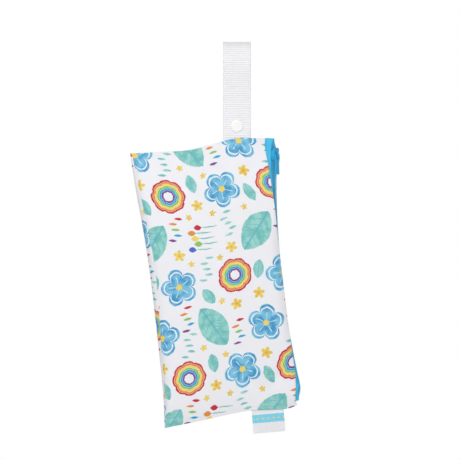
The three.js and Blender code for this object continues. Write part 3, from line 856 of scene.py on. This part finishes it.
def tulips(nodes, spot, wash):
    """Five buds on thin stems."""
    x, y, row = group_row(nodes, spot, TULIP_PITCH)
    bud = lens(nodes, nodes.minus(x, BUD_AT), y, *BUD_SIZE)
    stem = lens(nodes, nodes.minus(x, STEM_AT), y, *STEM_SIZE)
    colour = nodes.mix(bud, paint(TEAL), row_paint(nodes, row, TULIP_COLOURS))
    return colour, nodes.math("MAXIMUM", bud, stem)


MOTIFS = {motif.__name__: motif for motif in (blossom, leaf, rosette, buttercup, leaflets, petals, tulips)}


def print_colour(nodes, cloth):
    """The repeated print in hand-painted wash on white; the back panel is cut from another place in it."""
    across, _ = nodes.split(cloth)
    behind = nodes.math("LESS_THAN", across, 0)
    flat = nodes.vector("ADD", cloth, nodes.scaled((*BACK_PANEL_SHIFT, 0), behind))
    wobble = nodes.vector("SUBTRACT", nodes.noise(flat, *WOBBLE_NOISE, "Color"), (0.5, 0.5, 0.5))
    painted = nodes.vector("ADD", flat, nodes.scaled(wobble, WOBBLE))
    wash = nodes.fade(nodes.noise(flat, *BLOT_NOISE), *WASH_EDGE)
    colour = paint(CLOTH_WHITE)
    half = Vector((*PRINT_REPEAT, 2)) / 2
    for name, size, spots in PRINT_ROWS:
        for x, y, turn in spots:
            spot = nodes.vector("SUBTRACT", painted, (x, y, 0))
            spot = nodes.vector("WRAP", spot, half, -half)
            spot = nodes.scaled(nodes.turned(spot, turn), 1 / size)
            motif_colour, mask = MOTIFS[name](nodes, spot, wash)
            colour = nodes.mix(mask, colour, motif_colour)
    return colour


def cloth_surface(nodes, cloth, uneven):
    """Laminated knit: the print on white, with a fine ribbed face."""
    x, y = nodes.split(cloth)
    knit = nodes.line(nodes.wave(y, COURSE_PITCH), COURSE_SHARE, nodes.wave(x, WALE_PITCH))
    rough = nodes.fade(uneven, *KNIT_ROUGH_EDGE)
    return print_colour(nodes, cloth), rough, nodes.line(uneven, KNIT_UNEVEN, knit)


def pouch_grid():
    """The pouch's outside from the front's free edge round the fold to the back's, and its spots."""
    nose = np.linspace(0, NOSE_SHARE, NOSE_COLUMNS + 1)[1:]
    panel = np.linspace(NOSE_SHARE, 1, PANEL_COLUMNS + 1)[1:]
    one_side = np.concatenate([nose, panel])
    q = np.concatenate([one_side[::-1], [0], -one_side])
    rim = CLOTH / 2
    even = np.linspace(rim / POUCH_LENGTH, 1 - rim / POUCH_LENGTH, SHEET_ROWS)
    at = even[:, None]
    side = np.abs(q)
    left, reach = pouch_left(at), pouch_nose(at)
    bend = np.minimum(side / NOSE_SHARE, 1) * math.pi / 2
    straight = np.maximum(side - NOSE_SHARE, 0) / (1 - NOSE_SHARE)
    across = left + reach * (1 - np.cos(bend)) + straight * (pouch_panel(at) - rim - left - reach)
    face = np.where(q >= 0, -1, 1)
    down = at * POUCH_LENGTH
    from_seam = np.minimum(down, POUCH_LENGTH - down)
    seam = seam_half(across, at)
    half = seam + (full_thickness(at, across) - seam) * smooth_step(from_seam, 0, SEAM_PINCH)
    half = half * nose_share(at, across) - fold_depth(across, down, face)
    grid = place(across, face * half + pulled_depth(across, down), at)
    length = np.array([line_length(row) for row in grid])
    front = len(one_side) + 1
    seam_across = left[:, 0] + side_seam(even)
    seam_at = [
        np.interp(-seam_across[i], -across[i, :front], length[i, :front]) for i in range(SHEET_ROWS)
    ]
    spots = stacked(np.array(seam_at)[:, None] - length, down, face)
    groove = np.exp(-((spots[..., 0] / GROOVE_WIDTH) ** 2)) * GROOVE_DEPTH
    return grid - grid_normals(grid) * groove[..., None], spots


def pulled_depth(across, down):
    """How far the ribbon's pull brings the top seam forward."""
    beside = np.abs(across - RIBBON_ACROSS) - RIBBON_WIDTH / 2
    near = 1 - smooth_step(beside, 0, PULLED_WIDTH)
    return -LAYER_DEPTH * near * (1 - smooth_step(down, 0, PULLED_DOWN))


def seam_half(across, at):
    """Half the pouch's depth at its top and bottom seams, opened where the ribbon and the label go in."""
    upper = at < 0.5
    middle = np.where(upper, RIBBON_ACROSS, LABEL_ACROSS)
    width = np.where(upper, RIBBON_WIDTH, LABEL_WIDTH) / 2
    room = np.where(upper, RIBBON_THICKNESS / 2, LABEL_HALF_DEPTH + LABEL_LAYER / 2)
    opened = 1 - smooth_step(np.abs(across - middle), width, width + SEAM_FADE)
    return SEAM_HALF + (room + SEAM_ROOM) * opened


def bag_body():
    grid, spots = pouch_grid()
    piece = cloth_sheet("bag_shell", grid, CLOTH, spots, make_material("printed_cloth", cloth_surface))
    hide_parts("bag_body")
    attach(piece, "bag")


def tape_surface(nodes, cloth, uneven):
    """Woven polyester tape: fine herringbone in one blue."""
    x, y = nodes.split(cloth)
    slant = nodes.math("PINGPONG", x, TWILL_WIDTH)
    weave = nodes.wave(nodes.math("ADD", y, slant), TWILL_PITCH)
    shade = nodes.line(weave, TWILL_SHADE, nodes.fade(uneven, *TAPE_UNEVEN_EDGE))
    return nodes.tint(nodes.fade(shade, *TAPE_SHADE_EDGE), TAPE_BLUES), uneven, weave


def zip_point(at, face, out, side):
    """A point of the zip's section, out from the chain and to one side; its depth is towards that side."""
    turn = np.radians(zip_turn(at))
    across = zip_chain(at) + out * np.cos(turn) + face * side * np.sin(turn)
    depth = side * np.cos(turn) - face * (zip_forward(at) + out * np.sin(turn))
    return across, depth


def tape_line(at, face):
    """One tape's outside in section: from the chain, round the bend and under the panel's edge."""
    panel = pouch_panel(at)
    start = zip_point(at, face, 0, zip_slit(at) + TAPE / 2)
    bend = zip_point(at, face, 0, zip_bend(at) if face < 0 else zip_behind(at))
    lip = min(zip_chain(at), panel + 2 * GAP, bend[0])
    inner = lip - zip_margin(at)
    down = at * POUCH_LENGTH
    under_cloth = CLOTH_WALL + UNDER_GAP
    lip_half = pouch_gap(at) - edge_roll(at, lip) - fold_depth(np.array(lip), down, face)
    lip_depth = max(lip_half - under_cloth, LEAST_TAPE_DEPTH)
    inner_depth = lip_depth
    if inner < panel:
        inner_half = full_thickness(at, inner) - fold_depth(np.array(inner), down, face)
        inner_depth = inner_half - under_cloth
    under = np.array((lip, lip_depth))
    share = WRAP_SHARE + WRAP_RAMP * max(at - WRAP_END, 0)
    wrap = np.array(bend) + share * (under - bend)
    if face > 0:
        wrap[1] += WRAP_DEPTH * math.sin(math.radians(zip_turn(at)))
    return even_points(rounded_line([start, bend, wrap, under, (inner, inner_depth)]), TAPE_COLUMNS)


def zip_tape(face, name, material):
    rim = TAPE / 2
    shares = np.linspace(rim / POUCH_LENGTH, (TAPE_BOTTOM - rim) / POUCH_LENGTH, SHEET_ROWS)
    grid, spots = [], []
    for at in shares:
        line = tape_line(at, face)
        grid.append(place(line[:, 0], face * line[:, 1], at))
        spots.append(stacked(line_length(line), at * POUCH_LENGTH, 0))
    grid, spots = np.array(grid), np.array(spots)
    if face > 0:
        grid, spots = grid[:, ::-1], spots[:, ::-1]
    piece = cloth_sheet(name + "_weave", grid, TAPE, spots, material)
    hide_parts(name)
    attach(piece, "bag")


def zip_coil(face, name, material):
    """Half of the zip's chain: a wound wire between the other half's turns, sinking in at its lower end."""
    turns = (COIL_BOTTOM - COIL_TOP) / COIL_PITCH
    angle = np.linspace(0, 2 * math.pi * turns, int(turns * COIL_STEPS))
    phase = angle + (math.pi if face > 0 else 0)
    down = COIL_TOP + angle / (2 * math.pi) * COIL_PITCH
    at = down / POUCH_LENGTH
    middle = COIL_MIDDLE - COIL_SINK * smooth_step(down, COIL_BOTTOM - COIL_SINK_RUN, COIL_BOTTOM)
    out = middle + COIL_RISE * np.sin(phase)
    across, depth = zip_point(at, face, out, COIL_DEPTH + COIL_REACH * np.cos(phase))
    path = place(across, face * depth, at)
    middle_across, middle_depth = zip_point(at, face, middle, COIL_DEPTH)
    centre = place(middle_across, face * middle_depth, at)
    points, faces = tube(path, path - centre, (COIL_WIRE, COIL_WIRE), COIL_SIDES)
    piece = add_mesh(name + "_wire", points, faces, material)
    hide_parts(name)
    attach(piece, "bag")


def enamel_surface(nodes, spot, peel):
    """Baked enamel on cast metal, with a fine orange peel."""
    return nodes.tint(nodes.noise(spot, *ENAMEL_NOISE), ENAMEL_BLUES), peel, peel


def slider_matrix():
    """Where the slider sits: x out of the zip, y in depth and z up the chain, in metres."""
    at = SLIDER_DOWN / POUCH_LENGTH
    reach = SLIDER_LENGTH / 2 / POUCH_LENGTH
    upper = place(zip_chain(at - reach), 0, at - reach)
    lower = place(zip_chain(at + reach), 0, at + reach)
    slope = math.atan2(upper[0] - lower[0], upper[2] - lower[2])
    seat = Matrix.Translation(Vector(place(zip_chain(at), -zip_forward(at), at) * MM))
    return seat @ Matrix.Rotation(slope, 4, "Y") @ Matrix.Rotation(-math.radians(zip_turn(at)), 4, "Z")


def slider_outline(head, tail, corner):
    """A shield in y and z: as wide as head at the top and as tail at the bottom, with rounded corners."""
    half = SLIDER_LENGTH / 2
    line = []
    corners = ((head / 2, half), (tail / 2, -half), (-tail / 2, -half), (-head / 2, half))
    for (y, z), first in zip(corners, (90, 0, -90, 180)):
        middle_y = y - math.copysign(corner, y)
        middle_z = z - math.copysign(corner, z)
        for step in range(CORNER_STEPS + 1):
            angle = math.radians(first - 90 * step / CORNER_STEPS)
            line.append((middle_y + corner * math.cos(angle), middle_z + corner * math.sin(angle)))
    return line


def zip_slider(material):
    """Two plates joined by a post, flanges beside the chain, and a bridge for the pull."""
    top = CHANNEL + PLATE
    outer = slider_outline(SLIDER_WIDTH, SLIDER_TAIL_WIDTH, PLATE_CORNER)
    inner = slider_outline(INNER_PLATE_WIDTH, INNER_TAIL_WIDTH, INNER_CORNER)
    half = POST_WIDTH / 2
    post = [(-half, POST_LOW), (half, POST_LOW), (half, POST_HIGH), (-half, POST_HIGH)]
    parts = [
        rounded_slab(outer, CHANNEL, top, PLATE_BEVEL),
        rounded_slab(inner, -INNER_DEPTH - PLATE, -INNER_DEPTH, INNER_BEVEL),
        rounded_slab(post, -INNER_DEPTH - PLATE / 2, CHANNEL + PLATE / 2, POST_BEVEL),
    ]
    for face in (-1, 1):
        outside = face * SLIDER_WIDTH / 2
        below = face * SLIDER_TAIL_WIDTH / 2
        wall = [(outside, FLANGE_HIGH), (outside - face * FLANGE, FLANGE_HIGH)]
        wall += [(below - face * FLANGE, FLANGE_LOW), (below, FLANGE_LOW)]
        parts.append(rounded_slab(wall, FLANGE_LIFT, top - FLANGE_BEVEL, FLANGE_BEVEL))
    reach = BRIDGE_LENGTH / 2 - BRIDGE_FOOT
    foot = top - BRIDGE_SINK
    crest = top + BRIDGE_OPENING + BRIDGE_TOP / 2
    arch = [(foot, 0, -reach), (crest, 0, -reach), (crest, 0, reach), (foot, 0, reach)]
    arch = even_points(rounded_line(arch, BRIDGE_PASSES), BRIDGE_STEPS)
    parts.append(tube(arch, (0, 1, 0), (BRIDGE_WIDTH / 2, BRIDGE_TOP / 2), BRIDGE_SIDES))
    points, faces = gather(parts)
    piece = add_mesh("zip_slider_body", points, faces, material)
    piece.data.transform(slider_matrix())
    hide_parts("zip_slider")
    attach(piece, "bag")


def mirrored(corners):
    """A closed outline with rounded corners, from the corners of its right half."""
    right = rounded_line(corners)
    return np.concatenate([right, (right * (-1, 1))[::-1][1:-1]])


def pull_lines():
    """The pull's outline and its eye, in y and z, below the bar that it hangs from."""
    bar, wide = PULL_BAR / 2, EYE_WIDTH / 2
    head, waist, end = PULL_HEAD_WIDTH / 2, PULL_WAIST_WIDTH / 2, PULL_END_WIDTH / 2
    neck = -EYE_LENGTH - PULL_BAR
    right = [(0, bar), (head, bar), (head, -EYE_LENGTH), (waist, neck - PULL_NECK), (waist, 2 * neck)]
    right += [(end, PULL_TOE - PULL_LENGTH), (end, -PULL_LENGTH), (0, -PULL_LENGTH)]
    eye = [(0, -bar), (wide, -bar), (wide, -EYE_LENGTH), (0, -EYE_LENGTH)]
    return mirrored(right), mirrored(eye)


def zip_pull(material):
    """A pressed plate with an eye, rounded along its edges."""
    curve = bpy.data.curves.new("zip_pull_outline", "CURVE")
    curve.dimensions = "2D"
    curve.fill_mode = "BOTH"
    curve.extrude = (PULL_THICKNESS / 2 - PULL_BEVEL) * MM
    curve.bevel_depth = PULL_BEVEL * MM
    curve.bevel_resolution = BEVEL_STEPS
    curve.offset = -PULL_BEVEL * MM
    for line in pull_lines():
        spline = curve.splines.new("POLY")
        spline.points.add(len(line) - 1)
        for point, (y, z) in zip(spline.points, line):
            point.co = (y * MM, z * MM, 0, 1)
        spline.use_cyclic_u = True
    drawn = show("zip_pull_outline", curve)
    mesh = bpy.data.meshes.new_from_object(drawn.evaluated_get(bpy.context.evaluated_depsgraph_get()))
    bpy.data.objects.remove(drawn)
    upright = Matrix(((0, 0, 1, 0), (1, 0, 0, 0), (0, 1, 0, 0), (0, 0, 0, 1)))
    hinge = Matrix.Translation(((CHANNEL + PLATE + BRIDGE_OPENING / 2) * MM, 0, 0))
    mesh.transform(slider_matrix() @ hinge @ upright)
    mesh.name = "zip_pull_plate"
    mesh.materials.append(material)
    mesh.shade_smooth()
    piece = show("zip_pull_plate", mesh)
    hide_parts("zip_pull")
    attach(piece, "pull")


def ribbon_surface(nodes, cloth, uneven):
    """Grosgrain: a crosswise rib with painted shade in its grooves and an uneven tone, with warp threads
    running along it.
    """
    x, y = nodes.split(cloth)
    # Painted shade: the colour darkens in each rib groove, on top of the uneven tone
    groove = nodes.math("COSINE", nodes.times(y, 2 * math.pi / RIB_PITCH))
    shade = nodes.line(uneven, RIBBON_UNEVEN, nodes.times(groove, RIB_GROOVE_SHADE))
    colour = nodes.tint(nodes.fade(shade, *RIBBON_SHADE_EDGE), RIBBON_WHITE_AND_GROOVE_SHADE)
    return colour, uneven, nodes.wave(x, WARP_PITCH)


def ribbon_path():
    """The ribbon in depth and height: up from the seam in front, over the loop and down behind."""
    radius = LOOP_RADIUS + RIBBON_THICKNESS / 2
    flat_top = FLAT_ABOVE_SNAP - SNAP_DROP
    bow = (flat_top + LOOP_RADIUS) / 2
    bend = [(LAYER_DEPTH, flat_top), (LAYER_DEPTH, bow - LOOP_RADIUS), (radius, bow), (radius, -LOOP_RADIUS)]
    behind = bezier(bend, BEND_STEPS)
    over = np.linspace(math.pi, 0, LOOP_STEPS + 1)[1:-1]
    loop = stacked(np.cos(over), np.sin(over)) * radius + (0, -LOOP_RADIUS)
    start = [(-LAYER_DEPTH, -SEAM_DROP - RIBBON_TAIL)]
    end = [(LAYER_DEPTH, -RIBBON_END)]
    return np.concatenate([start, behind * (-1, 1), loop, behind[::-1], end])


def hang_ribbon():
    path = ribbon_path()
    total = line_length(path)[-1]
    count = int(total / RIB_PITCH * RIB_STEPS)
    path = even_points(path, count)
    along = np.linspace(0, total, count)[:, None]
    forward = unit(np.gradient(path, axis=0))
    side = stacked(-forward[:, 1], forward[:, 0])
    rib = np.abs(np.sin(along * math.pi / RIB_PITCH)) ** RIB_ROUND
    thick = RIBBON_THICKNESS - 2 * RIB_HEIGHT * (1 - rib)
    outside = path + side * thick / 2
    across = np.linspace(-RIBBON_WIDTH / 2, RIBBON_WIDTH / 2, RIBBON_COLUMNS)
    grid = stacked(across, outside[:, :1], outside[:, 1:])
    spots = stacked(across, along, 0)
    piece = cloth_sheet("hang_ribbon_weave", grid, thick, spots, make_material("ribbon", ribbon_surface))
    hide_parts("hang_ribbon")
    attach(piece, "bag")


def snap_profile():
    """The disc inside the ribbon, the stud through it and the domed cap outside: radius and depth."""
    inner = LAYER_DEPTH - RIBBON_THICKNESS / 2 - SNAP_CLEARANCE
    outer = LAYER_DEPTH + RIBBON_THICKNESS / 2 + SNAP_CLEARANCE
    near = GAP / 2
    disc = [(SNAP_CENTRE, near), (DISC_RADIUS - DISC_EDGE, near), (DISC_RADIUS, near + DISC_EDGE)]
    stud = [(DISC_RADIUS, inner), (STUD_RADIUS, inner), (STUD_RADIUS, outer)]
    rim = [(CAP_RADIUS - CAP_EDGE, outer), (CAP_RADIUS, outer + CAP_EDGE)]
    curves = [bezier(CAP_SHOULDER, SHOULDER_STEPS), bezier(CAP_DOME, DOME_STEPS)[1:]]
    cap = np.concatenate(curves) * (-1, 1) + (CAP_RADIUS, outer)
    return np.concatenate([disc, stud, rim, cap])


def snap_half(face, name, material):
    points, faces = lathe(snap_profile(), ROUND_STEPS)
    points = points * (1, face, face) + (0, 0, -SNAP_DROP)
    piece = add_mesh(name + "_cap", points, faces, material)
    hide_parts(name)
    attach(piece, "bag")


def label_surface(nodes, cloth, uneven):
    """Satin tape with a plain woven stripe and a row of small marks."""
    x, y = nodes.split(cloth)
    below = nodes.minus(y, STRIPE_DOWN)
    stripe = nodes.fade(nodes.absolute(below), *STRIPE_EDGE)
    mark = lens(nodes, nodes.math("WRAP", x, MARK_HALF, -MARK_HALF), below, *MARK_SIZE)
    white = nodes.tint(nodes.fade(uneven, *SATIN_SHADE_EDGE), LABEL_WHITES)
    colour = nodes.mix(mark, nodes.mix(stripe, white, paint(LABEL_BLUE)), paint(YELLOW))
    return colour, uneven, nodes.wave(y, SATIN_PITCH)


def label():
    """A tape folded in half and sewn into the bottom seam by its two ends."""
    half = LABEL_HALF_DEPTH
    bottom = half - LABEL_DROP
    fold = np.linspace(math.pi, 2 * math.pi, LABEL_FOLD_STEPS + 1)
    turn = stacked(half * np.cos(fold), bottom + half * np.sin(fold))
    path = even_points(np.concatenate([[(-half, LABEL_TAIL)], turn, [(half, LABEL_TAIL)]]), LABEL_ROWS)
    along = line_length(path)[:, None] - LABEL_TAIL
    x = np.linspace(-LABEL_WIDTH / 2, LABEL_WIDTH / 2, LABEL_COLUMNS)
    z = path[:, 1:]
    hang = np.clip(-z / LABEL_DROP, 0, 1)
    depth = path[:, :1] + RIPPLE * hang * np.sin(x * RIPPLE_RATE + RIPPLE_START)
    seat = place(LABEL_ACROSS, 0, 1)
    cosine, sine = math.cos(LABEL_TURN - LEAN), math.sin(LABEL_TURN - LEAN)
    grid = stacked(seat[0] + x * cosine + z * sine, depth, seat[2] - x * sine + z * cosine)
    outside = grid + grid_normals(grid) * LABEL_LAYER / 2
    satin = make_material("label_satin", label_surface)
    piece = cloth_sheet("label_tape", outside, LABEL_LAYER, stacked(x, along, 0), satin)
    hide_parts("label")
    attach(piece, "bag")


def floor():
    angles = np.linspace(0, 2 * math.pi, ROUND_STEPS, endpoint=False)
    rim = stacked(FLOOR_RADIUS * np.cos(angles), FLOOR_RADIUS * np.sin(angles), FLOOR_LEVEL)
    material = make_material("floor", plain_surface(FLOOR_WHITES))
    piece = add_mesh("floor", rim, [tuple(range(ROUND_STEPS))], material)


def studio():
    """The lights, and a soft sky that the camera itself sees as plain white."""
    for name, spot, size, power in LIGHTS:
        light = bpy.data.lights.new(name, "AREA")
        light.shape = "DISK"
        light.size = size
        light.energy = power
        lamp = show(name, light)
        lamp.location = spot
        lamp.rotation_euler = (Vector(LIGHT_TARGET) - Vector(spot)).to_track_quat("-Z", "Y").to_euler()
    world = bpy.data.worlds.new("studio")
    world.use_nodes = True
    nodes = Nodes(world)
    background = world.node_tree.nodes["Background"]
    background.inputs["Color"].default_value = (1, 1, 1, 1)
    seen = nodes.add("ShaderNodeLightPath").outputs["Is Camera Ray"]
    direction = nodes.add("ShaderNodeTexCoord").outputs["Generated"]
    upward = nodes.add("ShaderNodeSeparateXYZ", {"Vector": direction}).outputs["Z"]
    soft = nodes.line(upward, SKY_RISE, SKY_LEVEL)
    strength = nodes.add("ShaderNodeMix", {"Factor": seen, "A": soft, "B": 1})
    nodes.feed(background.inputs["Strength"], strength.outputs["Result"])
    bpy.context.scene.world = world
    bpy.context.scene.view_settings.view_transform = "Standard"


def camera():
    data = bpy.data.cameras.new("camera")
    data.sensor_width = SENSOR
    data.lens = -SENSOR * CAMERA_PLACE[1] / FRAME_WIDTH
    data.clip_end = CLIP_END
    eye = show("camera", data)
    eye.location = Vector(CAMERA_PLACE) * MM
    eye.rotation_euler = (math.pi / 2, 0, 0)
    bpy.context.scene.camera = eye


camera()
studio()
floor()
bag_body()
tape_blue = make_material("zip_tape", tape_surface)
# The coil's lighter blues are painted light against the shade of its recess
coil_blue = make_material("zip_coil", plain_surface(SHADE_LIFTED_COIL_BLUES))
for side_face, side_name in ((-1, "front"), (1, "back")):
    zip_tape(side_face, "zip_tape_" + side_name, tape_blue)
    zip_coil(side_face, "zip_coil_" + side_name, coil_blue)
enamel = make_material("slider_paint", enamel_surface)
zip_slider(enamel)
zip_pull(enamel)
hang_ribbon()
snap_white = make_material("snap_plastic", plain_surface(SNAP_WHITES))
snap_half(-1, "snap_front", snap_white)
snap_half(1, "snap_back", snap_white)
label()
